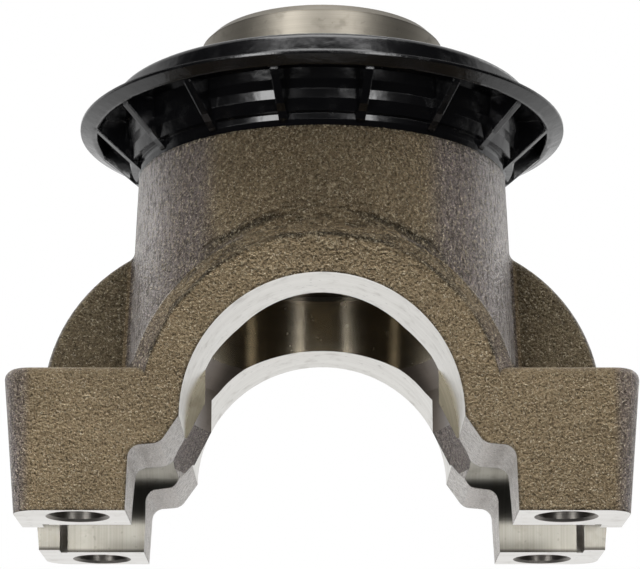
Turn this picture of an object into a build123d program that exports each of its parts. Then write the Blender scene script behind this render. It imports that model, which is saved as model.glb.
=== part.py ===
import os
from math import cos, radians, sin, sqrt, tan

from build123d import *

# A forged end yoke for a heavy driveshaft, with the plastic dust slinger pressed on its hub.
# Millimetres, +Z up the hub, X along the two half-round saddles.
# The origin is where the hub axis crosses the saddle axis, in the plane of the four bolt pads.

# Lengths that only help: a tolerance for picking edges, and how far a cut runs past the metal
tiny = 0.01
near = 0.1
past = 5.0

# Bearing cups and the bolts that hold them
cup_r = 20.6
cup_end = 65.65
lip_bore_r = 17.0
cup_groove_width = 1.6
cup_groove_depth = 0.6
bolt_inset = 9.35
bolt_x = cup_end - bolt_inset
bolt_y = 31.75
bolt_hole_r = 6.75
bolt_chamfer = 0.65

# Ears, as forged: a drafted block that carries the four bolt pads
lip_thickness = 5.15
ear_half_length = cup_end + lip_thickness
ear_side_margin = 8.65
ear_half_width = bolt_y + ear_side_margin
ear_height = 32.8
ear_corner_r = 6.0
forged_edge_r = 2.2
root_r = 3.0
end_draft = 4.6
face_draft = 7.5
reach = 4 * ear_half_length

# Throat between the ears
throat_half_gap = 45.0
throat_draft = 3.0
shoulder_x = 37.0
shoulder_rise = 0.6
shoulder_corner_r = 3.0
nose_corner_r = 3.5
arch_r = 32.7
arch_drop = 11.3
arch_z = ear_height - arch_drop
shoulder_drop = 6.9
shoulder_z = arch_z - shoulder_drop
arch_milled_from_y = 17.0

# Hub, as forged
hub_overhang = 5.8
hub_r = ear_half_width + hub_overhang
hub_top_z = 90.4
hub_draft = 2.0

# Legs that carry the ears on the hub, and the thin web between each pair of legs
leg_inset = 0.7
leg_r = hub_r - leg_inset
leg_bevel_width = 3.8
leg_bevel_depth = 3.0
web_x = 26.8
web_inset = 2.6
web_r = ear_half_length - web_inset - web_x
web_thickness = 16.0
web_edge_r = 2.0

# Bore from the throat up to the nut seat
seat_z = 68.5
seat_corner = 1.0
counterbore_r = 29.3
counterbore_z = 47.5
lead_in_width = 3.5
lead_in_height = 6.5
lead_in_r = counterbore_r + lead_in_width
lead_in_top_z = counterbore_z - lead_in_height
lead_in_rise = 8.5
lead_in_z = arch_z + lead_in_rise
forged_bore_r = 37.5
forged_bore_drop = 2.5
forged_bore_z = arch_z - forged_bore_drop

# Turned upper end of the hub
slinger_seat_step = 2.0
slinger_seat_r = hub_r - slinger_seat_step
slinger_seat_height = 17.6
slinger_seat_top_z = hub_top_z + slinger_seat_height
slinger_plate = 3.2
slinger_top_z = slinger_seat_top_z + slinger_plate
journal_r = 30.8
pilot_step = 0.6
pilot_r = journal_r + pilot_step
journal_height = 19.6
journal_top_z = slinger_seat_top_z + journal_height
journal_chamfer = 2.0

# Splined bore
spline_teeth = 39
spline_minor_r = 20.6
spline_depth = 1.6
spline_major_r = spline_minor_r + spline_depth
spline_overlap = 0.4
spline_cut = spline_depth + spline_overlap
spline_space_width = 2.2
spline_flank_angle = 75
spline_lead_in = 1.2

# Dust slinger, one plastic moulding
press_clearance = 0.05
slinger_bore_r = slinger_seat_r + press_clearance
slinger_top_corner_r = 1.6
slinger_foot_corner_r = 1.5
slinger_lean = 0.8
sleeve_wall = 2.35
sleeve_lean = 0.5
sleeve_height = 3.0
collar_wall = 5.55
collar_taper = 1.6
collar_band = 2.8
collar_corner_r = 2.5
outer_wall = 2.9
sleeve_r = slinger_bore_r + sleeve_wall
collar_r = slinger_bore_r + collar_wall
collar_foot_r = collar_r - collar_taper
slinger_shoulder_r = collar_r + outer_wall
rim_width = 8.5
rim_height = 12.3
rim_thickness = 3.0
rim_edge_height = 0.7
rim_wall = 1.8
rim_r = slinger_shoulder_r + rim_width
rim_z = hub_top_z + rim_height
lip_width = 4.0
lip_drop = 2.0
lip_corner_r = 1.4
lip_r = rim_r - lip_width
lip_z = rim_z - lip_drop
pocket_rise = 2.8
pocket_roof_z = lip_z + pocket_rise
rib_count = 16
rib_thickness = 2.0
rib_bite = 0.6
rib_foot_height = 0.5
rib_foot_z = hub_top_z + rib_foot_height


def hub_radius(z):
    """Radius of the drafted hub at height z."""
    return hub_r + (hub_top_z - z) * tan(radians(hub_draft))


def is_root(edge):
    """True for an edge where hub, legs, webs and ear tops run into each other."""
    middle = edge @ 0.5
    if middle.Z < ear_height - tiny or middle.Z > hub_top_z - tiny:
        return False
    radius = sqrt(middle.X**2 + middle.Y**2)
    on_hub = abs(radius - hub_radius(middle.Z)) < near and edge.geom_type not in (
        GeomType.LINE,
        GeomType.ELLIPSE,
    )
    on_web_foot = abs(middle.Z - ear_height) < tiny and abs(middle.Y) < web_thickness / 2 + tiny
    leg_foot_x = sqrt(leg_r**2 - (ear_height - arch_z) ** 2)
    on_leg_foot = abs(middle.Z - ear_height) < tiny and abs(abs(middle.X) - leg_foot_x) < near
    return on_hub or on_leg_foot or (on_web_foot and radius < web_x + web_r + tiny)


# The space that the ears and legs are forged in: it widens upwards from the pads.
leg_top_z = arch_z + leg_r
with BuildPart() as die_space:
    for z in (0, leg_top_z):
        with BuildSketch(Plane.XY.offset(z)):
            RectangleRounded(
                2 * (ear_half_length + z * tan(radians(end_draft))),
                2 * (ear_half_width + z * tan(radians(face_draft))),
                ear_corner_r,
            )
    loft(ruled=True)

with BuildPart() as web_plates:
    # Webs at mid depth, round-edged plates from hub to ear
    with BuildSketch(Plane.XZ):
        with Locations((-web_x, ear_height), (web_x, ear_height)):
            Circle(web_r)
    extrude(amount=web_thickness / 2, both=True)
    fillet(web_plates.edges().filter_by(GeomType.CIRCLE), web_edge_r)
    with BuildSketch(Plane.XY.offset(ear_height - web_r)):
        Rectangle(reach, 2 * web_thickness)
    extrude(amount=web_r, mode=Mode.SUBTRACT)

with BuildPart() as legs:
    # Both legs of the fork, a thick drafted arch with a bevel round its front and back faces
    with BuildSketch(Plane.XZ):
        with Locations((0, arch_z)):
            Circle(leg_r)
    extrude(amount=reach, both=True)
    add(die_space.part, mode=Mode.INTERSECT)
    for end in (0, -1):
        leg_face = legs.faces().sort_by(Axis.Y)[end]
        rim = leg_face.edges().filter_by(lambda e: (e @ 0.5).Z > arch_z)
        chamfer(rim, leg_bevel_width, leg_bevel_depth, reference=leg_face)

with BuildPart() as yoke:
    # Ears: one block across the bottom of the fork, rounded along its upper edges
    with BuildSketch(Plane.XZ):
        with Locations((0, ear_height / 2)):
            Rectangle(reach, ear_height)
    extrude(amount=reach, both=True)
    add(die_space.part, mode=Mode.INTERSECT)
    ear_top = yoke.faces().sort_by(Axis.Z)[-1]
    fillet(ear_top.edges(), forged_edge_r)
    add(legs.part)

    # Drafted hub
    with BuildSketch(Plane.XZ):
        with BuildLine():
            Polyline(
                (0, arch_z),
                (hub_radius(arch_z), arch_z),
                (hub_r, hub_top_z),
                (0, hub_top_z),
                close=True,
            )
        make_face()
    revolve(axis=Axis.Z)
    add(web_plates.part)
    root_edges = yoke.edges().filter_by(is_root)
    fillet(root_edges, root_r)

    # Turned upper end: seat and pilot for the slinger, then the seal journal
    with BuildSketch(Plane.XZ):
        with BuildLine():
            Polyline(
                (0, hub_top_z),
                (slinger_seat_r, hub_top_z),
                (slinger_seat_r, slinger_seat_top_z),
                (pilot_r, slinger_seat_top_z),
                (pilot_r, slinger_top_z),
                (journal_r, slinger_top_z),
                (journal_r, journal_top_z - journal_chamfer),
                (journal_r - journal_chamfer, journal_top_z),
                (0, journal_top_z),
                close=True,
            )
        make_face()
    revolve(axis=Axis.Z)

    # Throat as forged, with a shoulder and a nose on the inner side of each ear
    with BuildSketch(Plane.XZ) as throat:
        with BuildLine():
            Polyline(
                (0, -past),
                (throat_half_gap, -past),
                (throat_half_gap - shoulder_z * tan(radians(throat_draft)), shoulder_z),
                (shoulder_x, shoulder_z + shoulder_rise),
                (arch_r, arch_z),
                (0, arch_z),
                close=True,
            )
        make_face()
        mirror(about=Plane.YZ)
        shoulder_corners = throat.vertices().filter_by(
            lambda v: shoulder_x + tiny < abs(v.X) < throat_half_gap - tiny
        )
        fillet(shoulder_corners, shoulder_corner_r)
        nose_corners = throat.vertices().filter_by(lambda v: abs(abs(v.X) - shoulder_x) < tiny)
        fillet(nose_corners, nose_corner_r)
    extrude(amount=reach, both=True, mode=Mode.SUBTRACT)

    # Arch over the throat, milled in from the front and from the back
    for side in (-1, 1):
        with BuildSketch(Plane.XZ.offset(side * arch_milled_from_y)):
            with Locations((0, arch_z)):
                Circle(arch_r)
        extrude(amount=side * reach, mode=Mode.SUBTRACT)

    # Bore up to the nut seat: forged flare, turned lead-in, then the nut counterbore
    with BuildSketch(Plane.XZ):
        with BuildLine():
            Polyline(
                (0, -past),
                (forged_bore_r, -past),
                (forged_bore_r, forged_bore_z),
                (lead_in_r, lead_in_z),
                (lead_in_r, lead_in_top_z),
                (counterbore_r, counterbore_z),
                (counterbore_r, seat_z - seat_corner),
                (counterbore_r - seat_corner, seat_z),
                (0, seat_z),
                close=True,
            )
        make_face()
    revolve(axis=Axis.Z, mode=Mode.SUBTRACT)

    # Splined bore with a lead-in at each end
    with BuildSketch(Plane.XY.offset(seat_z - past)):
        Circle(spline_minor_r)
        with PolarLocations(spline_major_r - spline_cut / 2, spline_teeth):
            Trapezoid(spline_space_width, spline_cut, spline_flank_angle, rotation=-90)
    extrude(amount=reach, mode=Mode.SUBTRACT)
    with BuildSketch(Plane.XZ):
        with BuildLine():
            Polyline(
                (0, seat_z - past),
                (spline_major_r + spline_lead_in, seat_z - past),
                (spline_major_r + spline_lead_in, seat_z),
                (spline_major_r, seat_z + spline_lead_in),
                (0, seat_z + spline_lead_in),
                close=True,
            )
        make_face()
        with BuildLine():
            Polyline(
                (0, journal_top_z + past),
                (spline_major_r + spline_lead_in, journal_top_z + past),
                (spline_major_r + spline_lead_in, journal_top_z),
                (spline_major_r, journal_top_z - spline_lead_in),
                (0, journal_top_z - spline_lead_in),
                close=True,
            )
        make_face()
    revolve(axis=Axis.Z, mode=Mode.SUBTRACT)

    # Half-round saddles for the bearing cups, a relief groove and a lip at each outer end
    with BuildSketch(Plane.XZ):
        with BuildLine():
            Polyline(
                (0, 0),
                (0, cup_r),
                (cup_end - cup_groove_width, cup_r),
                (cup_end - cup_groove_width, cup_r + cup_groove_depth),
                (cup_end, cup_r + cup_groove_depth),
                (cup_end, lip_bore_r),
                (reach, lip_bore_r),
                (reach, 0),
                close=True,
            )
        make_face()
        mirror(about=Plane.YZ)
    revolve(axis=Axis.X, mode=Mode.SUBTRACT)

    # Bolt holes through the four pads
    with GridLocations(2 * bolt_x, 2 * bolt_y, 2, 2):
        Hole(bolt_hole_r)
    pad_circles = yoke.edges().filter_by(GeomType.CIRCLE).filter_by(
        lambda e: abs((e @ 0).Z) < tiny and abs(e.radius - bolt_hole_r) < tiny
    )
    chamfer(pad_circles, bolt_chamfer)

with BuildPart() as dust_slinger:
    # Cross-section of the ring: plate, outer wall, turned-down rim and collar round the hub
    with BuildSketch(Plane.XZ) as ring_section:
        with BuildLine():
            Polyline(
                (pilot_r + press_clearance, slinger_seat_top_z),
                (pilot_r + press_clearance, slinger_top_z),
                (slinger_shoulder_r, slinger_top_z),
                (slinger_shoulder_r + slinger_lean, rim_z + rim_thickness),
                (rim_r, rim_z + rim_edge_height),
                (rim_r, rim_z),
                (lip_r, lip_z),
                (lip_r - rim_wall, pocket_roof_z),
                (collar_r, pocket_roof_z),
                (collar_r, pocket_roof_z - collar_band),
                (collar_foot_r, hub_top_z + sleeve_height),
                (sleeve_r, hub_top_z + sleeve_height),
                (sleeve_r - sleeve_lean, hub_top_z),
                (slinger_bore_r, hub_top_z),
                (slinger_bore_r, slinger_seat_top_z),
                close=True,
            )
        make_face()
        top_corner = ring_section.vertices().filter_by(
            lambda v: abs(v.Y - slinger_top_z) < tiny and v.X > slinger_seat_r
        )
        fillet(top_corner, slinger_top_corner_r)
        foot_corner = ring_section.vertices().filter_by(
            lambda v: abs(v.Y - rim_z - rim_thickness) < tiny
        )
        fillet(foot_corner, slinger_foot_corner_r)
        lip_corner = ring_section.vertices().filter_by(lambda v: abs(v.Y - lip_z) < tiny)
        fillet(lip_corner, lip_corner_r)
        collar_corner = ring_section.vertices().filter_by(
            lambda v: abs(v.Y - pocket_roof_z + collar_band) < tiny
        )
        fillet(collar_corner, collar_corner_r)
    revolve(axis=Axis.Z)

    # Radial ribs in the pocket between collar and rim
    for index in range(rib_count):
        angle = -90 + (index + 0.5) * 360 / rib_count
        rib_plane = Plane(
            origin=(0, 0, 0),
            x_dir=(cos(radians(angle)), sin(radians(angle)), 0),
            z_dir=(sin(radians(angle)), -cos(radians(angle)), 0),
        )
        with BuildSketch(rib_plane):
            with BuildLine():
                Polyline(
                    (sleeve_r - rib_bite, pocket_roof_z + rib_bite),
                    (sleeve_r - rib_bite, rib_foot_z),
                    (lip_r, lip_z),
                    (lip_r, pocket_roof_z + rib_bite),
                    close=True,
                )
            make_face()
        extrude(amount=rib_thickness / 2, both=True)

os.makedirs("parts", exist_ok=True)
yoke.part.label = "yoke"
export_step(yoke.part, "parts/yoke.step")
dust_slinger.part.label = "dust_slinger"
export_step(dust_slinger.part, "parts/dust_slinger.step")
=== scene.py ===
# %% [markdown]
# # A forged end yoke with its dust slinger
# This lesson dresses a finished CAD model for a studio picture. The object is the end yoke of a
# heavy driveshaft: one steel forging that was shot blasted and then machined where other parts
# meet it, with a black plastic dust slinger pressed on its hub. The model gives the true shape and
# size, so Blender's work is the surface: scale, grain, cutter marks and gloss, and the light.
# The first cell loads the model and notes the box that it fills. Blender counts in metres, so
# the object's lengths are written as millimetres times mm.

# %% Load the model
import math

import bpy
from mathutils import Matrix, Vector


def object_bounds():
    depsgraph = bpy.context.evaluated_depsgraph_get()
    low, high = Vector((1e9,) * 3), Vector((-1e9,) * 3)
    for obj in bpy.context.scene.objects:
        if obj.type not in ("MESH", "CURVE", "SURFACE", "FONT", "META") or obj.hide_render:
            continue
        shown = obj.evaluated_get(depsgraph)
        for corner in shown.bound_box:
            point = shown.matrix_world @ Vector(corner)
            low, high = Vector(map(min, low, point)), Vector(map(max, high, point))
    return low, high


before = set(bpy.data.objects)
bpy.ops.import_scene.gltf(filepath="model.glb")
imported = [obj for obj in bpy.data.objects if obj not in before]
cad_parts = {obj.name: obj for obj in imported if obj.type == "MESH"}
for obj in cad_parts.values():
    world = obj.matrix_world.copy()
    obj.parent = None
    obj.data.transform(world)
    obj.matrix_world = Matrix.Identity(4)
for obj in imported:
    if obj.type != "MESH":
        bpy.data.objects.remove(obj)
cad_low, cad_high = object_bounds()
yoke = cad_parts["yoke"]
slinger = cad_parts["dust_slinger"]
mm = 0.001
print("box in mm:", [round(v / mm, 1) for v in cad_low], [round(v / mm, 1) for v in cad_high])

# %% [markdown]
# ## Small tools for building materials
# A material is a tree of nodes. Every finish below needs the same few moves: add a node, set its
# inputs, join it to another. They could be written out each time, but short helpers keep
# each finish down to the lines that say something about the surface. An input takes a number or
# colour as it is, and a socket is linked.

# %% Helpers for nodes
def put(tree, kind, settings=None, **inputs):
    """Adds a node. Inputs are named with underscores, and i0, i1 stand for places."""
    new = tree.nodes.new(kind)
    for name, value in (settings or {}).items():
        setattr(new, name, value)
    for name, value in inputs.items():
        place = int(name[1:]) if name[0] == "i" and name[1:].isdigit() else name.replace("_", " ")
        feed(tree, new.inputs[place], value)
    return new


def feed(tree, socket, value):
    """Links a socket to an input, or sets a plain value on it."""
    if isinstance(value, bpy.types.NodeSocket):
        tree.links.new(value, socket)
    else:
        socket.default_value = value


def maths(tree, operation, first, second=0.0):
    """One step of arithmetic, as a value."""
    return put(tree, "ShaderNodeMath", {"operation": operation}, i0=first, i1=second).outputs[0]


def between(tree, value, low, high, to_low=0.0, to_high=1.0):
    """A smooth mask: to_low at low, to_high at high, and level outside. Low may be the larger."""
    ends = {"interpolation_type": "SMOOTHSTEP"}
    new = put(tree, "ShaderNodeMapRange", ends, i0=value, i1=low, i2=high, i3=to_low, i4=to_high)
    return new.outputs[0]


def blend(tree, factor, first, second):
    """A colour between two, by a factor."""
    new = put(tree, "ShaderNodeMix", {"data_type": "RGBA"}, i0=factor, i6=first, i7=second)
    return new.outputs[2]


def parts_of(tree, vector):
    """The x, y and z of a vector."""
    return put(tree, "ShaderNodeSeparateXYZ", Vector=vector).outputs


def place_of(tree):
    """Where the shaded point is on the object, in metres: all three together, then x, y, z."""
    here = put(tree, "ShaderNodeTexCoord").outputs["Object"]
    x, y, z = parts_of(tree, here)
    return here, x, y, z


def srgb(red, green, blue):
    """A colour read off a screen, 0 to 255, as the linear colour that a shader takes."""
    def linear(c):
        c = c / 255
        return c / 12.92 if c <= 0.04045 else ((c + 0.055) / 1.055) ** 2.4
    return (linear(red), linear(green), linear(blue), 1.0)


# %% [markdown]
# ## Tools for masks
# Most of a surface is masks: how much of an effect shows at each point, from 0 to 1. They are
# made from distances and noise, and then multiplied. These helpers name the few sums that come
# up again and again, so that an effect can be read as a sentence.

# %% Helpers for masks
def product(tree, first, *others):
    """Masks or sizes multiplied."""
    for other in others:
        first = maths(tree, "MULTIPLY", first, other)
    return first


def difference(tree, first, second):
    """One value less another."""
    return maths(tree, "SUBTRACT", first, second)


def size_of(tree, value):
    """A value without its sign, which makes both sides of the object alike."""
    return maths(tree, "ABSOLUTE", value)


def length_of(tree, first, second):
    """The distance from an axis, from the two coordinates across it."""
    flat = put(tree, "ShaderNodeCombineXYZ", X=first, Y=second).outputs[0]
    return put(tree, "ShaderNodeVectorMath", {"operation": "LENGTH"}, i0=flat).outputs["Value"]


def window(tree, value, rise, fall):
    """A mask that opens over the pair rise and closes over the pair fall."""
    return product(tree, between(tree, value, *rise), between(tree, value, *fall))


def noise(tree, place, scale, detail, roughness=0.5):
    """Soft noise from 0 to 1. Its scale is in waves for each unit of the place it is given."""
    new = put(
        tree, "ShaderNodeTexNoise",
        Vector=place, Scale=scale, Detail=detail, Roughness=roughness,
    )
    return new.outputs["Fac"]


def darkened(tree, colour, dark, *masks):
    """A colour taken towards a dark one, by one mask after another."""
    for mask in masks:
        colour = blend(tree, mask, colour, dark)
    return colour


# %% [markdown]
# ## Tools for shared effects
# Several materials here show the same effect, such as grain or cutter lines. Each effect is a
# node group, which is built once and then placed in every material with that material's own
# colours and sizes. The two helpers make an empty group and place one.

# %% Helpers for groups
VALUE, VECTOR, COLOUR = "NodeSocketFloat", "NodeSocketVector", "NodeSocketColor"


def new_group(name, inputs, outputs):
    """An empty group with named inputs and outputs, each with its kind."""
    group = bpy.data.node_groups.new(name, "ShaderNodeTree")
    for label, kind in inputs:
        group.interface.new_socket(label, in_out="INPUT", socket_type=kind)
    for label, kind in outputs:
        group.interface.new_socket(label, in_out="OUTPUT", socket_type=kind)
    given = group.nodes.new("NodeGroupInput").outputs
    result = group.nodes.new("NodeGroupOutput").inputs
    return group, given, result


def use(tree, group, **inputs):
    """Places a shared group in a material and returns its outputs."""
    return put(tree, "ShaderNodeGroup", {"node_tree": group}, **inputs).outputs


# %% [markdown]
# ## The painted sheen of the side walls
# The front of the forging is olive brown. Its side walls get a painted grey reflection, and a
# painted silver highlight near the outline, where they are seen at a slant. Dark streaks run down
# through that painted reflection. The painted sheen only needs to know which way a wall faces and
# how much at a slant it is seen, so a few masks and colours make it. The rounded outer corners
# of the ears get the painted grey too, as a band up each corner. Streaks drawn in a texture would
# do for one picture, but noise stretched along Z holds from every side.

# %% Group: painted sheen of the side walls
sheen_group, given, result = new_group(
    "painted side sheen",
    [
        ("Position", VECTOR), ("Facing Way", VECTOR), ("Slant", VALUE), ("Colour", COLOUR),
        ("Side Colour", COLOUR), ("Edge Colour", COLOUR), ("Dark Colour", COLOUR),
    ],
    [("Colour", COLOUR)],
)
tree = sheen_group
ear_top_z, ear_blend = 33.0 * mm, 3.0 * mm
facing_sideways = 0.5, 0.64
grey_slant, silver_slant = (0.1, 0.22), (0.36, 0.7)
silver_on_ears = 0.3
corner_band, corner_grey = (66.2 * mm, 69.0 * mm), 0.8
streak_scale, streak_gaps, streak_share = (1400.0, 1400.0, 420.0), (0.55, 0.35), 0.65

x, _, z = parts_of(tree, given["Position"])
facing_x = parts_of(tree, given["Facing Way"])[0]
side_wall = between(tree, size_of(tree, facing_x), *facing_sideways)
# Walls seen at a slant, and the ears' rounded corners, get a painted grey reflection.
slanting = product(tree, side_wall, between(tree, given["Slant"], *grey_slant))
on_corner = between(tree, size_of(tree, x), *corner_band, 0.0, corner_grey)
greyed = maths(tree, "MAXIMUM", slanting, on_corner)
# Near the outline the side walls get a painted silver highlight, weaker on the ears.
on_hub = between(tree, z, ear_top_z - ear_blend, ear_top_z + ear_blend, silver_on_ears, 1.0)
slant_highlight = product(tree, side_wall, between(tree, given["Slant"], *silver_slant), on_hub)
sheened = blend(tree, greyed, given["Colour"], given["Side Colour"])
sheened = blend(tree, slant_highlight, sheened, given["Edge Colour"])
# Dark streaks run down through the painted reflection.
drawn = put(tree, "ShaderNodeMapping", Vector=given["Position"], Scale=streak_scale).outputs[0]
streaks = between(tree, noise(tree, drawn, 1.0, detail=2.0), *streak_gaps, 0.0, streak_share)
streaked = darkened(tree, sheened, given["Dark Colour"], product(tree, greyed, streaks))
feed(tree, result["Colour"], streaked)
print("group:", tree.name, "with", len(tree.nodes), "nodes")

# %% [markdown]
# ## The bevel of the legs
# Each leg is an arch with a bevel along its outer edge. Painted shade lies in the crease where the
# bevel meets the front of the leg, the bevel itself gets a little painted shade, and its outer
# edge a thin painted highlight low down. They follow arcs about the arch's axis, so they are drawn
# by the distance from it. Noise is added to that distance, because a forged edge is never a clean
# line.

# %% Group: leg bevels, crease and edge
bevel_group, given, result = new_group(
    "leg bevels",
    [("Position", VECTOR), ("Colour", COLOUR), ("Dark Colour", COLOUR)],
    [("Colour", COLOUR), ("Height", VALUE)],
)
tree = bevel_group
arch_z = 21.5 * mm
leg_front = 36.0 * mm, 40.0 * mm
leg_foot = ear_top_z + 0.5 * mm, ear_top_z + 3.0 * mm
wander_scale, wander_size = 110.0, 3.4 * mm
crease_r, crease_fade = 43.7 * mm, (1.0 * mm, 0.1 * mm)
patch_scale, patch_gaps, patch_share = 160.0, (0.35, 0.6), (0.55, 0.95)
slope_width, slope_dark = 1.0 * mm, 0.3
bevel_edge_r, bevel_edge_fade = 45.6 * mm, (0.42 * mm, 0.12 * mm)
highlight_below, highlight_share, highlight_steel = (56.0 * mm, 48.0 * mm), 0.75, srgb(190, 186, 182)

here = given["Position"]
x, y, z = parts_of(tree, here)
above_arch = difference(tree, z, arch_z)
reach = length_of(tree, x, above_arch)
wander = product(tree, noise(tree, here, wander_scale, detail=3.0), wander_size)
torn_reach = maths(tree, "ADD", reach, wander)
leg_face = between(tree, size_of(tree, y), *leg_front)
on_leg = product(tree, leg_face, between(tree, z, *leg_foot))
# Painted shade on the bevel's slope, and patchy painted shade in its crease.
slope = between(tree, torn_reach, crease_r, crease_r + slope_width, 0.0, slope_dark)
off_crease = size_of(tree, difference(tree, torn_reach, crease_r))
patchy = between(tree, noise(tree, here, patch_scale, detail=2.0), *patch_gaps, *patch_share)
crease = product(tree, between(tree, off_crease, *crease_fade), patchy)
# A thin painted highlight along the bevel's outer edge, low down.
off_edge = size_of(tree, difference(tree, reach, bevel_edge_r))
edge_highlight = product(tree, between(tree, off_edge, *bevel_edge_fade), between(tree, z, *highlight_below))
bright_edge = product(tree, on_leg, edge_highlight, highlight_share)
bevel_masks = [product(tree, on_leg, slope), product(tree, on_leg, crease)]
print("crease at radius in mm:", round((crease_r - wander_size / 2) / mm, 1))

# %% [markdown]
# ## Torn folds above the arch
# Above the bevel a fold lies in the hub on each side, darkened with a painted shadow, and the
# crown between them is torn into shallow ridges, where the steel flowed last, with painted shade
# in the gullies between them. They could be carved into the mesh, but they are shallow, so the
# same group
# draws them: the folds by the distance from the arch, and the ridges as noise stretched round it.
# Both also go out as a height, so that light catches them.

# %% Group: leg bevels, folds and ridges
fold_r, fold_half, fold_spread = 46.6 * mm, 1.7 * mm, 0.09
fold_opens, fold_closes = (6.0 * mm, 13.0 * mm), (32.0 * mm, 24.0 * mm)
fold_dark, fold_depth = 0.92, 0.6
crown_opens, crown_closes = (41.5 * mm, 43.5 * mm), (51.5 * mm, 48.5 * mm)
crown_above = 46.0 * mm, 54.0 * mm
ridge_scale_out, ridge_scale_round, ridge_height = 700.0, 7.0, (0.35, 0.65)
gully_from, gully_dark, ridge_depth = (0.5, 0.0), 0.6, 0.9

beside = size_of(tree, x)
fold_reach = difference(tree, torn_reach, product(tree, beside, fold_spread))
off_fold = size_of(tree, difference(tree, fold_reach, fold_r + wander_size / 2))
fold = product(
    tree, window(tree, beside, fold_opens, fold_closes), between(tree, off_fold, fold_half, 0.0),
    leg_face,
)
flow_out = product(tree, torn_reach, ridge_scale_out)
flow_round = product(tree, maths(tree, "ARCTAN2", x, above_arch), ridge_scale_round)
flow = put(tree, "ShaderNodeCombineXYZ", X=flow_out, Y=flow_round).outputs[0]
ridges = between(tree, noise(tree, flow, 1.0, detail=2.0), *ridge_height)
crown = product(
    tree, window(tree, reach, crown_opens, crown_closes), leg_face, between(tree, z, *crown_above)
)
gullies = product(tree, crown, between(tree, ridges, *gully_from, 0.0, gully_dark))
# Painted shadow in the folds and painted shade in the gullies between the ridges.
torn_masks = [product(tree, fold, fold_dark), gullies]
shaded = darkened(tree, given["Colour"], given["Dark Colour"], *bevel_masks, *torn_masks)
relief = product(tree, crown, ridges, ridge_depth)
feed(tree, result["Height"], difference(tree, relief, product(tree, fold, fold_depth)))
feed(tree, result["Colour"], blend(tree, bright_edge, shaded, highlight_steel))
print("group:", tree.name, "with", len(tree.nodes), "nodes")

# %% [markdown]
# ## Corners and edges
# Blasting rounds every outer edge a little. The model's edges are sharp, so a Bevel node bends the
# light over them, and the difference between the bent and the true normal marks the edges, which
# get painted shade. Ambient Occlusion finds the inner corners, which get painted shade too. Both
# read the real shape, so no mask has to be drawn or placed by hand.

# %% Group: corners and edges
corner_group, given, result = new_group(
    "corners and edges",
    [("Colour", COLOUR), ("Dark Colour", COLOUR)],
    [("Colour", COLOUR), ("Normal", VECTOR)],
)
tree = corner_group
blasted_edge_r, corner_reach = 1.4 * mm, 7.0 * mm
corner_open, corner_dark = (0.96, 0.5), 0.85
edge_alike, edge_dark = (0.999, 0.93), 0.72

bent_normal = put(tree, "ShaderNodeBevel", {"samples": 6}, Radius=blasted_edge_r).outputs["Normal"]
true_normal = put(tree, "ShaderNodeNewGeometry").outputs["Normal"]
alike = put(
    tree, "ShaderNodeVectorMath", {"operation": "DOT_PRODUCT"}, i0=bent_normal, i1=true_normal
).outputs["Value"]
around = put(tree, "ShaderNodeAmbientOcclusion", {"samples": 8}, Distance=corner_reach)
# Painted shade in the inner corners and along the rounded edges.
in_corner = between(tree, around.outputs["AO"], *corner_open, 0.0, corner_dark)
on_edge = between(tree, alike, *edge_alike, 0.0, edge_dark)
shaded_corners = darkened(tree, given["Colour"], given["Dark Colour"], in_corner, on_edge)
feed(tree, result["Colour"], shaded_corners)
feed(tree, result["Normal"], bent_normal)
print("group:", tree.name, "with", len(tree.nodes), "nodes")

# %% [markdown]
# ## Grain of the forging
# Shot blasting leaves a forging covered in tiny overlapping dents, about half a millimetre
# across. Real dents would take millions of faces, and the eye only reads them as sparkle and
# grain, so a bump gives their relief and colour paints their light: painted shade in the bottom of
# a dent, a painted highlight on its crest, and a few painted glints. Three sizes of relief lie
# over each
# other: the dents, a coarser pitting that is strongest on the hub, and a slow unevenness left by
# the die.

# %% Group: blasted grain
grain_group, given, result = new_group(
    "blasted grain",
    [
        ("Position", VECTOR), ("Dent Size", VALUE), ("Die Marks", VALUE),
        ("Colour", COLOUR), ("Dark Colour", COLOUR), ("Crest Colour", COLOUR),
    ],
    [("Colour", COLOUR), ("Height", VALUE), ("Crests", VALUE)],
)
tree = grain_group
dent_roughness, dent_floor, dent_crest = 0.65, (0.49, 0.34), (0.52, 0.68)
dent_dark, crest_share = 0.66, 0.4
mottle_scale, mottle_patches, mottle_dark = 45.0, (0.35, 0.65), 0.2
glint_scale, glint_peak, glint_share = 2300.0, (0.59, 0.71), 0.34
glint_colour = srgb(222, 212, 188)
die_scale = 130.0
coarse_scale, coarse_floor, coarse_crest = 1250.0, (0.48, 0.34), (0.58, 0.70)
coarse_dark, coarse_pale, coarse_depth = 0.22, 0.32, 1.6
hub_above, coarse_on_legs = (45.0 * mm, 60.0 * mm), 0.3

here, dark, crest = given["Position"], given["Dark Colour"], given["Crest Colour"]
dent_scale = maths(tree, "DIVIDE", 1.0, given["Dent Size"])
dents = noise(tree, here, dent_scale, detail=3.0, roughness=dent_roughness)
# Painted shade in the bottom of each dent and a painted highlight on its crest.
crests = between(tree, dents, *dent_crest)
hollows = between(tree, dents, *dent_floor, 0.0, dent_dark)
uneven = noise(tree, here, mottle_scale, detail=2.0)
mottle = between(tree, uneven, *mottle_patches, 0.0, mottle_dark)
# Painted glints on a few bright spots.
spots = noise(tree, here, glint_scale, detail=1.0)
painted_glints = between(tree, spots, *glint_peak, 0.0, glint_share)
die_waves = product(tree, noise(tree, here, die_scale, detail=3.0), given["Die Marks"])
on_hub = between(tree, parts_of(tree, here)[2], *hub_above, coarse_on_legs, 1.0)
coarse = noise(tree, here, coarse_scale, detail=1.0)
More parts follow.
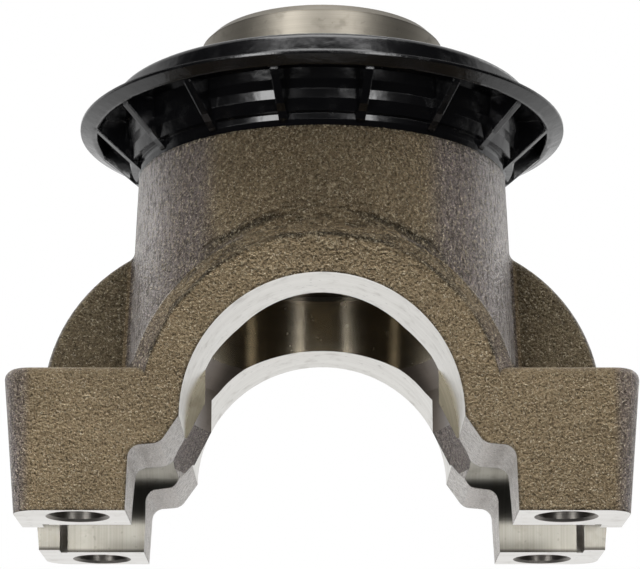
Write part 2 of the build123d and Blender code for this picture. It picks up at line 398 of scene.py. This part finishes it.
# Painted shade and highlight of the coarser pitting, strongest on the hub.
coarse_hollows = product(tree, between(tree, coarse, *coarse_floor, 0.0, coarse_dark), on_hub)
coarse_crests = product(tree, between(tree, coarse, *coarse_crest, 0.0, coarse_pale), on_hub)
print("coarse pitting in mm:", round(1 / coarse_scale / mm, 1))

# %% [markdown]
# ## Colours and height of the grain
# The masks of the last cell are now laid over each other: the die's mottle first, then the painted
# shade and highlight of the dents, those of the coarser pitting over them, and the painted glints
# last, so that nothing dulls them. The heights are simply added, and the crests go out as a mask,
# because they are also the shiniest.

# %% Group: blasted grain, put together
speckled = darkened(tree, given["Colour"], dark, mottle, hollows)
speckled = blend(tree, product(tree, crests, crest_share), speckled, crest)
speckled = darkened(tree, speckled, dark, coarse_hollows)
speckled = blend(tree, coarse_crests, speckled, crest)
fine_relief = maths(tree, "ADD", dents, product(tree, coarse, on_hub, coarse_depth))
feed(tree, result["Colour"], blend(tree, painted_glints, speckled, glint_colour))
feed(tree, result["Height"], maths(tree, "ADD", fine_relief, die_waves))
feed(tree, result["Crests"], crests)
print("group:", tree.name, "with", len(tree.nodes), "nodes")

# %% [markdown]
# ## A forged material
# Blasted steel is metal under a thin oxide, so it is mostly metallic but quite rough, and
# smoother on the crests of its dents. The four effects above follow each other, each taking the
# colour that the last one made. The slant comes from a Layer Weight node, which has to stay in the
# material itself.

# %% Helpers: a material, a bump and a forged skin
def new_material(name):
    """A material with a Principled shader, its node tree and that shader."""
    material = bpy.data.materials.new(name)
    material.use_nodes = True
    return material, material.node_tree, material.node_tree.nodes["Principled BSDF"]


def bump(tree, height, depth, normal=None):
    """Turns a height into a normal. Depth is in metres from a height of 0 to 1."""
    new = put(tree, "ShaderNodeBump", Height=height, Strength=1.0, Distance=depth)
    if normal is not None:
        feed(tree, new.inputs["Normal"], normal)
    return new.outputs["Normal"]


dent_size, die_marks, grain_depth = 0.52 * mm, 1.2, 1.2 * mm
hollow_roughness, crest_roughness, metal_share = 0.38, 0.26, 0.8


def blasted(name, colour, side, edge, dark, crest):
    """Rough forged steel: its colour, painted sheen of side walls and outline, dents and crests.
    """
    material, tree, shader = new_material(name)
    here = place_of(tree)[0]
    facing_way = put(tree, "ShaderNodeNewGeometry").outputs["Normal"]
    slant = put(tree, "ShaderNodeLayerWeight", Blend=0.5).outputs["Facing"]
    sheened = use(
        tree, sheen_group, Position=here, Facing_Way=facing_way, Slant=slant,
        Colour=colour, Side_Colour=side, Edge_Colour=edge, Dark_Colour=dark,
    )
    corners = use(tree, corner_group, Colour=sheened["Colour"], Dark_Colour=dark)
    bevels = use(tree, bevel_group, Position=here, Colour=corners["Colour"], Dark_Colour=dark)
    grain = use(
        tree, grain_group, Position=here, Dent_Size=dent_size, Die_Marks=die_marks,
        Colour=bevels["Colour"], Dark_Colour=dark, Crest_Colour=crest,
    )
    roughness = between(tree, grain["Crests"], 0.0, 1.0, hollow_roughness, crest_roughness)
    relief = maths(tree, "ADD", grain["Height"], bevels["Height"])
    feed(tree, shader.inputs["Base Color"], grain["Colour"])
    feed(tree, shader.inputs["Roughness"], roughness)
    feed(tree, shader.inputs["Normal"], bump(tree, relief, grain_depth, corners["Normal"]))
    shader.inputs["Metallic"].default_value = metal_share
    return material


# %% [markdown]
# ## The forging's skins
# One forging, but four skins: the olive brown of most of it, the webs between hub and ears,
# darkened with painted shade, the pale throat between the legs, and the scaly flare under the
# counterbore. Only the colours differ, so each skin is one call.

# %% Materials: forged skins
# side and edge colour the painted reflection and highlight on slanted walls, crest the painted
# highlight on dents.
forged = blasted(
    "blasted forging",
    colour=srgb(134, 117, 91), side=srgb(112, 102, 100), edge=srgb(190, 185, 185),
    dark=srgb(42, 35, 25), crest=srgb(196, 183, 154),
)
# The webs' darker colours are painted shade.
web_shaded = blasted(
    "blasted web, painted shade",
    colour=srgb(104, 92, 72), side=srgb(100, 94, 88), edge=srgb(130, 124, 118),
    dark=srgb(34, 28, 20), crest=srgb(176, 164, 134),
)
throat_skin = blasted(
    "blasted throat",
    colour=srgb(204, 198, 193), side=srgb(212, 208, 204), edge=srgb(218, 214, 210),
    dark=srgb(118, 110, 104), crest=srgb(238, 235, 230),
)
scaly = blasted(
    "scaly flare",
    colour=srgb(98, 88, 82), side=srgb(122, 112, 108), edge=srgb(130, 120, 116),
    dark=srgb(40, 32, 29), crest=srgb(204, 196, 188),
)
print("forging materials:", [m.name for m in (forged, web_shaded, throat_skin, scaly)])

# %% [markdown]
# ## Marks of a cutter
# A lathe and a mill both leave fine parallel lines. They run round a turned face and
# straight along a milled one, so the group only asks how far a point is *across* the lines and
# how far it is *along* them, and each material works that out from its own position. Fine lines
# lie over broad ones, because a cutter both scratches and wanders.

# %% Group: cutter lines
lines_group, given, result = new_group(
    "cutter lines",
    [
        ("Across", VALUE), ("Along", VALUE), ("Spacing", VALUE),
        ("Colour", COLOUR), ("Line Colour", COLOUR),
    ],
    [("Colour", COLOUR), ("Height", VALUE)],
)
tree = lines_group
along_scale, broad_lines = 60.0, 0.13
dull_lines, dull_share = (0.75, 1.25), 0.35

across = maths(tree, "DIVIDE", given["Across"], given["Spacing"])
along = product(tree, given["Along"], along_scale)
where = put(tree, "ShaderNodeCombineXYZ", X=across, Y=along).outputs[0]
fine, broad = noise(tree, where, 1.0, detail=2.0), noise(tree, where, broad_lines, detail=1.0)
both = maths(tree, "ADD", fine, broad)
dull = between(tree, both, *dull_lines, 0.0, dull_share)
feed(tree, result["Height"], both)
feed(tree, result["Colour"], blend(tree, dull, given["Colour"], given["Line Colour"]))
print("group:", tree.name, "with", len(tree.nodes), "nodes")

# %% [markdown]
# ## Marks of handling
# Machined faces lie about in a workshop: they get small grey stains and a few tiny dark nicks.
# Two sizes of noise make them, and the stains are also a little duller than clean steel, so
# the group gives them out as a mask too.

# %% Group: handling marks
marks_group, given, result = new_group(
    "handling marks",
    [
        ("Position", VECTOR), ("Stain Size", VALUE), ("Stain Share", VALUE),
        ("Colour", COLOUR), ("Stain Colour", COLOUR),
    ],
    [("Colour", COLOUR), ("Stains", VALUE)],
)
tree = marks_group
stained_from = 0.5, 0.75
nick_scale, nick_peak, nick_share, nick_colour = 900.0, (0.74, 0.8), 0.2, srgb(70, 64, 58)

here = given["Position"]
stain_scale = maths(tree, "DIVIDE", 1.0, given["Stain Size"])
stains = between(tree, noise(tree, here, stain_scale, detail=4.0), *stained_from)
nicks = between(tree, noise(tree, here, nick_scale, detail=0.0), *nick_peak, 0.0, nick_share)
shown = product(tree, stains, given["Stain Share"])
stained = blend(tree, shown, given["Colour"], given["Stain Colour"])
feed(tree, result["Colour"], blend(tree, nicks, stained, nick_colour))
feed(tree, result["Stains"], stains)
print("group:", tree.name, "with", len(tree.nodes), "nodes")

# %% [markdown]
# ## Ways that the lines run
# Each machined face has its lines in its own direction. A short formula for each gives the two
# distances that the group asks for, from a point's position.

# %% Directions of the lines
def round_the_hub(tree, x, y, z):
    """Turned walls: the lines go round the hub, one above the other."""
    return z, 0.0


def rings_on_a_face(tree, x, y, z):
    """Turned end faces: rings about the hub axis."""
    return length_of(tree, x, y), 0.0


def across_the_fork(tree, x, y, z):
    """Milled faces: the cutter travelled along X, so the lines are stacked in Y."""
    return y, x


def round_the_saddle(tree, x, y, z):
    """Bored saddles: the lines go round the X axis, one beside the other."""
    return x, 0.0


def round_the_arch(tree, x, y, z):
    """The end of the arch cut: arcs about the arch's own axis."""
    return length_of(tree, x, difference(tree, z, arch_z)), 0.0


# %% [markdown]
# ## A machined material
# Fine round grooves smear a reflection across themselves, which is why a turned bar shows
# upright streaks of light. Anisotropy does that on a smooth wall, with the axis of the cut
# for its direction and a quarter turn to set the smear across the grooves. The bump of the lines
# only adds the finish, and stains take some of the gloss away.

# %% Helper: a machined face
stain_size, stain_dulls = 3.5 * mm, 0.3
quarter_turn = 0.25


def machined(
    name, colour, line_colour, lines_run, roughness, spacing, depth, stain_share,
    axis=None, smear=0.85,
):
    """Cut steel. lines_run gives the distance across the lines and along them."""
    material, tree, shader = new_material(name)
    here, x, y, z = place_of(tree)
    over, along = lines_run(tree, x, y, z)
    lines = use(
        tree, lines_group, Across=over, Along=along, Spacing=spacing,
        Colour=colour, Line_Colour=line_colour,
    )
    marks = use(
        tree, marks_group, Position=here, Stain_Size=stain_size, Stain_Share=stain_share,
        Colour=lines["Colour"], Stain_Colour=line_colour,
    )
    stained_roughness = roughness + stain_dulls * stain_share
    dulled = between(tree, marks["Stains"], 0.0, 1.0, roughness, stained_roughness)
    feed(tree, shader.inputs["Base Color"], marks["Colour"])
    feed(tree, shader.inputs["Roughness"], dulled)
    feed(tree, shader.inputs["Normal"], bump(tree, lines["Height"], depth))
    shader.inputs["Metallic"].default_value = 1.0
    if axis:
        ring = put(tree, "ShaderNodeTangent", {"direction_type": "RADIAL", "axis": axis})
        feed(tree, shader.inputs["Tangent"], ring.outputs[0])
        shader.inputs["Anisotropic"].default_value = smear
        shader.inputs["Anisotropic Rotation"].default_value = quarter_turn
    return material


# %% [markdown]
# ## Milled and bored faces of the fork
# Each face was cut by a different tool. The pads and the arch were milled and look almost
# white. The saddles were bored round X, and the bolt holes were drilled. The flat ends of the
# arch cut are dark and stained, with the arcs of the cutter's end on them.

# %% Materials: the fork
milled = machined(
    "milled pad", srgb(226, 224, 220), srgb(198, 194, 188), across_the_fork,
    roughness=0.34, spacing=0.4 * mm, depth=0.003 * mm, stain_share=0.3,
)
arch_cut = machined(
    "milled arch", srgb(220, 218, 213), srgb(190, 187, 181), across_the_fork,
    roughness=0.36, spacing=0.5 * mm, depth=0.004 * mm, stain_share=0.4,
)
undercut = machined(
    "arch end", srgb(116, 111, 98), srgb(72, 66, 54), round_the_arch,
    roughness=0.3, spacing=0.4 * mm, depth=0.01 * mm, stain_share=0.4,
)
saddle = machined(
    "bored saddle", srgb(158, 155, 146), srgb(112, 107, 96), round_the_saddle,
    roughness=0.28, spacing=0.5 * mm, depth=0.01 * mm, stain_share=0.3, axis="X",
)
drilled = machined(
    "drilled hole", srgb(150, 146, 140), srgb(90, 84, 78), round_the_hub,
    roughness=0.48, spacing=0.3 * mm, depth=0.01 * mm, stain_share=0.3, axis="Z",
)
print("fork:", [m.name for m in (milled, arch_cut, undercut, saddle, drilled)])

# %% [markdown]
# ## Turned faces of the hub
# The seal journal has a satin finish, so its smear is weak. The walls of the counterbore and the
# spline are smoother and have the strongest smear, which draws the light in long upright streaks.
# The lead-in is darker and browner, and so is the nut seat, whose darker colour is painted shade
# deep in the counterbore.

# %% Materials: the hub
turned = machined(
    "turned journal", srgb(136, 131, 121), srgb(112, 107, 98), round_the_hub,
    roughness=0.52, spacing=0.3 * mm, depth=0.005 * mm, stain_share=0.35, axis="Z", smear=0.5,
)
faced = machined(
    "faced end", srgb(180, 174, 164), srgb(160, 154, 144), rings_on_a_face,
    roughness=0.3, spacing=0.3 * mm, depth=0.005 * mm, stain_share=0.2,
)
bored = machined(
    "bored wall", srgb(168, 159, 141), srgb(124, 115, 99), round_the_hub,
    roughness=0.26, spacing=0.4 * mm, depth=0.006 * mm, stain_share=0.05, axis="Z", smear=1.0,
)
lead_in = machined(
    "lead-in", srgb(96, 88, 81), srgb(84, 76, 68), round_the_hub,
    roughness=0.3, spacing=0.3 * mm, depth=0.004 * mm, stain_share=0.3, axis="Z",
)
# The nut seat's darker colour is painted shade.
seat_cut = machined(
    "nut seat", srgb(120, 110, 98), srgb(80, 70, 60), rings_on_a_face,
    roughness=0.35, spacing=0.3 * mm, depth=0.005 * mm, stain_share=0.3,
)
print("hub:", [m.name for m in (turned, faced, bored, lead_in, seat_cut)])

# %% [markdown]
# ## Dark lines along cut edges
# The saddles get painted shade in a band just above the pads, and the journal a thin darker line
# under its chamfer. Both are level lines, so the height alone places them, and the material keeps
# the colour that it had.

# %% Edge lines
def darken_between(material, start_z, end_z, share, dark):
    """Darkens a finished material as its height goes from start_z to end_z."""
    tree = material.node_tree
    base = tree.nodes["Principled BSDF"].inputs["Base Color"]
    near_edge = between(tree, place_of(tree)[3], start_z, end_z, 0.0, share)
    feed(tree, base, blend(tree, near_edge, base.links[0].from_socket, dark))


journal_edge_z = 125.6 * mm
# Painted shade along the bottom of the saddles.
darken_between(saddle, 1.1 * mm, 0.3 * mm, share=0.75, dark=srgb(40, 36, 32))
darken_between(
    turned, journal_edge_z - 0.6 * mm, journal_edge_z - 0.1 * mm, share=0.35, dark=srgb(60, 56, 50)
)
print("edge lines on:", saddle.name, "and", turned.name)

# %% [markdown]
# ## The slinger's plastic
# The slinger is a glossy black moulding. Its gloss isn't perfect: the walls wave a little, the
# skin has a fine peel that is coarser on the rim, and handling leaves duller patches. The edges
# of its ribs are rounded by a Bevel node. Under the plate, the collar is rolled in like a hollow:
# its wall turns down, then up again. The model has that wall straight, so a bump with the roll's
# own profile bends the reflection.

# %% The collar's roll
moulded, tree, shader = new_material("black moulding")
here, x, y, z = place_of(tree)
collar_r, collar_half_wall = 47.9 * mm, 2.3 * mm
flats, roll_steepness = ((91.9 * mm, 93.2 * mm), (96.3 * mm, 98.4 * mm)), 0.6
rib_edge_r = 0.5 * mm

profile = z
for low, high in flats:
    flat = put(tree, "ShaderNodeMapRange", i0=z, i1=low, i2=high, i3=0.0, i4=high - low)
    profile = difference(tree, profile, flat.outputs[0])
rolled = bump(tree, product(tree, profile, roll_steepness), 1.0)
from_axis = length_of(tree, x, y)
off_collar = size_of(tree, difference(tree, from_axis, collar_r))
on_collar = maths(tree, "LESS_THAN", off_collar, collar_half_wall)
plain = put(tree, "ShaderNodeBevel", {"samples": 6}, Radius=rib_edge_r).outputs["Normal"]
shaped = put(tree, "ShaderNodeMix", {"data_type": "VECTOR"}, i0=on_collar, i4=plain, i5=rolled)
print("flats of the collar in mm:", [[round(v / mm, 1) for v in pair] for pair in flats])

# %% [markdown]
# ## Gloss of the slinger
# Over the shape come two bumps, a slow wave and the peel, and a roughness that goes up where
# hands left marks. The black and the IOR are the same all over, so they are set on the shader
# itself.

# %% Material: black moulding
rim_r, rim_blend, rim_peel = 53.0 * mm, 2.0 * mm, 5.0
wave_scale, wave_depth = 220.0, 0.13 * mm
peel_scale, peel_depth = 2600.0, 0.006 * mm
clean_roughness, marked_roughness = 0.18, 0.3

wavy = bump(tree, noise(tree, here, wave_scale, detail=2.0), wave_depth, shaped.outputs[1])
on_rim = between(tree, from_axis, rim_r, rim_r + rim_blend, 1.0, rim_peel)
peel = product(tree, noise(tree, here, peel_scale, detail=1.0), on_rim)
marks = use(tree, marks_group, Position=here, Stain_Size=6.0 * mm)
dulled = between(tree, marks["Stains"], 0.0, 1.0, clean_roughness, marked_roughness)
feed(tree, shader.inputs["Normal"], bump(tree, peel, peel_depth, wavy))
feed(tree, shader.inputs["Roughness"], dulled)
shader.inputs["Base Color"].default_value = srgb(4, 4, 5)
shader.inputs["IOR"].default_value = 1.5
print("moulding material:", moulded.name)

# %% [markdown]
# ## Which face gets which finish
# The forging is one mesh, so its faces are sorted by where they are. Every machined face is a
# plane, a cylinder or a cone about a known axis, and its triangles can be told by their centre
# and normal. Painting a mask by hand would also work, but a rule survives a new mesh. The sizes
# are the model's own, and the rules take a small slack for the flats of a round wall. How far a
# face leans is read from its normal, where 1 means that it looks straight along that axis.

# %% Sizes of the machined faces
cup_r, cup_end, groove_start, groove_depth = 20.6 * mm, 65.65 * mm, 64.05 * mm, 0.8 * mm
bolt_x, bolt_y, bolt_r, bolt_chamfer = 56.3 * mm, 31.75 * mm, 6.75 * mm, 0.8 * mm
arch_r, arch_cut_from = 32.7 * mm, 17.0 * mm
counterbore_z, seat_z = 47.5 * mm, 68.5 * mm
lead_in_r, lead_in_z, flare_r, flare_z = 32.8 * mm, 30.0 * mm, 37.5 * mm, 19.0 * mm
hub_top_z, spline_r, spline_chamfer_r, end_face_r = 90.4 * mm, 24.0 * mm, 23.5 * mm, 23.0 * mm
throat_half_gap, throat_depth, nose = 45.0 * mm, 22.0 * mm, 4.0 * mm
ear_height, saddle_depth, web_half, web_from = 32.8 * mm, 25.0 * mm, 8.0 * mm, 46.0 * mm
bolt_depth = 40.0 * mm
slack = 0.12 * mm
level, dead_level, sloping = 0.9, 0.99, 0.2
across_x, faces_in, faces_down = 0.5, 0.3, 0.5
print("slack of the rules in mm:", round(slack / mm, 2))

# %% [markdown]
# ## The rules
# The rules go from the small to the large: bolt holes and pads first, then the saddles, the hub's
# top and its inside, the arch and the throat. What no rule claims is forged skin.

# %% Rules for the finishes
def fork_finish(x, y, z, normal):
    """The finish of a face on the ears, or None."""
    from_saddle_axis = math.hypot(y, z)
    from_bolt = math.hypot(abs(x) - bolt_x, abs(y) - bolt_y)
    in_bolt_hole = bolt_r - slack < from_bolt < bolt_r + bolt_chamfer and z < bolt_depth
    if in_bolt_hole and abs(normal.z) < level:
        return "drilled"
    if z < slack and normal.z < -dead_level:
        return "milled"
    cut_round_x = abs(normal.x) < across_x or abs(abs(x) - cup_end) < slack
    in_saddle = from_saddle_axis < cup_r + slack and z < saddle_depth
    if cut_round_x and in_saddle and abs(x) > throat_half_gap - nose:
        return "saddle"
    in_groove = groove_start - slack < abs(x) < cup_end + slack
    if in_groove and from_saddle_axis < cup_r + groove_depth:
        return "groove"
    return None


def hub_finish(x, y, z, normal):
    """The finish of a face on the hub's top or inside it, or None."""
    from_axis = math.hypot(x, y)
    if z > hub_top_z + slack:
        if abs(normal.z) > level and from_axis > end_face_r:
            return "faced"
        if from_axis > spline_chamfer_r:
            return "turned"
    if from_axis < spline_r and z > seat_z - slack:
        return "spline"
    if abs(z - seat_z) < slack and normal.z < -level:
        return "seat"
    if from_axis < lead_in_r + slack and lead_in_z - slack < z < seat_z + slack:
        return "bored" if z > counterbore_z else "lead_in"
    in_flare = from_axis < flare_r + slack and flare_z - slack < z < lead_in_z + slack
    if in_flare and normal.x * x + normal.y * y < 0 and abs(normal.z) > sloping:
        return "scaly"
    return None


def body_finish(x, y, z, normal):
    """The finish of a face of the arch, the throat, the webs or the plain forging."""
    from_arch_axis = math.hypot(x, z - arch_z)
    if abs(from_arch_axis - arch_r) < slack and abs(y) > arch_cut_from - slack:
        return "arch"
    at_arch_end = abs(abs(y) - arch_cut_from) < slack and abs(normal.y) > level
    if at_arch_end and from_arch_axis < arch_r + slack:
        return "arch_end"
    inward = -normal.x if x > 0 else normal.x
    in_throat = z < throat_depth and abs(x) < throat_half_gap + slack
    if in_throat and (inward > faces_in or normal.z < -faces_down):
        return "throat"
    if abs(y) < web_half + slack and z > ear_height - slack and abs(x) > web_from:
        return "web"
    return "forged"


def finish_of(centre, normal):
    """The finish of the forging at a face, told from its centre and its normal."""
    place = (*centre, normal)
    return fork_finish(*place) or hub_finish(*place) or body_finish(*place)


# %% [markdown]
# ## Dressing the two pieces
# Each finish of the rules gets its material. The mesh keeps one slot for each material, and each
# face only notes the number of its slot, so the shape isn't touched. The slinger is one material
# all over.

# %% Sort the faces
finishes = {
    "forged": forged,
    "milled": milled,
    "saddle": saddle,
    "seat": seat_cut,
    "web": web_shaded,
    "throat": throat_skin,
    "groove": drilled,
    "drilled": drilled,
    "turned": turned,
    "faced": faced,
    "spline": bored,
    "bored": bored,
    "scaly": scaly,
    "arch": arch_cut,
    "arch_end": undercut,
    "lead_in": lead_in,
}
slots = list(dict.fromkeys(finishes.values()))
yoke.data.materials.clear()
for material in slots:
    yoke.data.materials.append(material)
counts = {}
for face in yoke.data.polygons:
    name = finish_of(face.center, face.normal)
    face.material_index = slots.index(finishes[name])
    counts[name] = counts.get(name, 0) + 1
slinger.data.materials.clear()
slinger.data.materials.append(moulded)
print("faces of the forging by finish:", counts)

# %% [markdown]
# ## Camera
# The photograph was taken from below the fork, looking up at about fifteen degrees with
# a long lens. The place comes from matching the bolt holes, the arch and the slinger's rim, and
# is kept as a real distance, so every other view stays true.

# %% Camera
picture_width = 640
camera_distance, camera_drop = 0.5774, 0.0942
look_up = 15.34
focal_pixels = 2392.0
centre_shift_pixels = 2.0
camera_data = bpy.data.cameras.new("camera")
camera_data.sensor_width = 36.0
camera_data.lens = focal_pixels / picture_width * camera_data.sensor_width
camera_data.shift_x = -centre_shift_pixels / picture_width
camera = bpy.data.objects.new("camera", camera_data)
camera.location = (0.0, -camera_distance, -camera_drop)
camera.rotation_euler = (math.radians(90 + look_up), 0.0, 0.0)
bpy.context.scene.collection.objects.link(camera)
bpy.context.scene.camera = camera
bpy.context.scene.view_settings.view_transform = "Standard"
print("lens in mm:", round(camera_data.lens, 1))

# %% [markdown]
# ## Light
# Two tall soft boxes stand in front, left and right, and a wide one hangs above. Polished metal
# mostly shows what is around it, so the two tall ones draw the upright streaks on the turned
# walls. The one above fills the top of the hub and gives the forging's grain its shading. Point
# lamps would do neither, because a streak is as wide as the lamp that makes it.

# %% Lamps
def soft_box(name, azimuth, elevation, distance, width, height, power):
    """A lamp aimed at the object. Azimuth 0 is the camera's side, and positive is right."""
    lamp = bpy.data.lights.new(name, "AREA")
    lamp.shape = "RECTANGLE"
    lamp.size, lamp.size_y = width, height
    lamp.energy = power
    holder = bpy.data.objects.new(name, lamp)
    turn, lift = math.radians(azimuth), math.radians(elevation)
    level_out = math.cos(lift)
    out = Vector((math.sin(turn) * level_out, -math.cos(turn) * level_out, math.sin(lift)))
    holder.location = aim + out * distance
    holder.rotation_euler = (-out).to_track_quat("-Z", "Y").to_euler()
    bpy.context.scene.collection.objects.link(holder)
    return holder


aim = Vector((0.0, 0.0, 0.05))
lamps = [
    soft_box("left box", -30, 0, distance=1.3, width=0.34, height=1.6, power=19.0),
    soft_box("right box", 25, 0, distance=1.3, width=0.26, height=1.6, power=13.0),
    soft_box("top box", 0, 60, distance=1.2, width=1.0, height=0.8, power=14.0),
]
print("lamps:", [lamp.name for lamp in lamps])

# %% [markdown]
# ## The white sweep
# A white sweep stands behind the object and bends over it. It is pure white to the camera and to
# mirror rays, while the light that the world throws on the object stays moderate. Mirror rays that
# leave to the camera's side, or far to the left or right, see a darker room, as they would in a
# studio. The edge between the two is soft, and it comes nearer to the camera high up.

# %% World
world = bpy.data.worlds.new("studio")
bpy.context.scene.world = world
world.use_nodes = True
tree = world.node_tree
sky = tree.nodes["Background"]
overhang, side_walls = 0.4, 0.65
sweep_edge, room_light = (-0.42, -0.12), 0.02
light_on_object = 0.36

path = put(tree, "ShaderNodeLightPath").outputs
x, y, z = parts_of(tree, put(tree, "ShaderNodeTexCoord").outputs["Generated"])
over = product(tree, z, overhang)
aside = product(tree, size_of(tree, x), side_walls)
behind = difference(tree, maths(tree, "ADD", y, over), aside)
sweep = between(tree, behind, *sweep_edge, room_light, 1.0)
mirrored = maths(tree, "MAXIMUM", path["Is Glossy Ray"], path["Is Transmission Ray"])
lit = put(
    tree, "ShaderNodeMix", {"data_type": "FLOAT"}, i0=mirrored, i2=light_on_object, i3=sweep
).outputs[0]
seen = maths(tree, "MAXIMUM", path["Is Camera Ray"], lit)
grey = put(tree, "ShaderNodeCombineColor", i0=seen, i1=seen, i2=seen).outputs[0]
feed(tree, sky.inputs["Color"], grey)
sky.inputs["Strength"].default_value = 1.0
print("world:", world.name)

# %% [markdown]
# ## Floor
# The yoke stands on its four pads, and the camera looks up from below them. The floor
# is therefore clear from underneath and plain white from above, where it catches the shadow. It
# is paper near the object and glows white further out, so that no edge shows. It casts no shadow
# itself, and neither its light nor its reflection reaches the object.

# %% Floor
floor_half, floor_drop = 4.0, 0.4 * mm
paper_from, paper_to = 0.12, 0.4
paper_white, paper_roughness = (0.86, 0.86, 0.86, 1.0), 0.9

floor_z = cad_low.z - floor_drop
signs = [(-1, -1), (1, -1), (1, 1), (-1, 1)]
corners = [(right * floor_half, back * floor_half, floor_z) for right, back in signs]
floor_mesh = bpy.data.meshes.new("floor")
floor_mesh.from_pydata(corners, [], [(0, 1, 2, 3)])
floor = bpy.data.objects.new("floor", floor_mesh)
bpy.context.scene.collection.objects.link(floor)
paper, tree, shader = new_material("white paper")
shader.inputs["Base Color"].default_value = paper_white
shader.inputs["Roughness"].default_value = paper_roughness
glow = put(tree, "ShaderNodeEmission", Color=(1.0, 1.0, 1.0, 1.0), Strength=1.0)
here = place_of(tree)[0]
away = put(tree, "ShaderNodeVectorMath", {"operation": "LENGTH"}, i0=here).outputs["Value"]
faded = put(tree, "ShaderNodeMixShader", i0=between(tree, away, paper_from, paper_to))
feed(tree, faded.inputs[1], shader.outputs[0])
feed(tree, faded.inputs[2], glow.outputs[0])
underneath = put(tree, "ShaderNodeNewGeometry").outputs["Backfacing"]
one_way = put(tree, "ShaderNodeMixShader", i0=underneath)
feed(tree, one_way.inputs[1], faded.outputs[0])
feed(tree, one_way.inputs[2], put(tree, "ShaderNodeBsdfTransparent").outputs[0])
feed(tree, tree.nodes["Material Output"].inputs["Surface"], one_way.outputs[0])
floor_mesh.materials.append(paper)
floor.visible_diffuse = False
floor.visible_glossy = False
floor.visible_shadow = False
print("floor at z in mm:", round(floor_z / mm, 1))

# %% [markdown]
# ## The end
# The last cell ends the lesson.

# %% End
print("scene dressed")
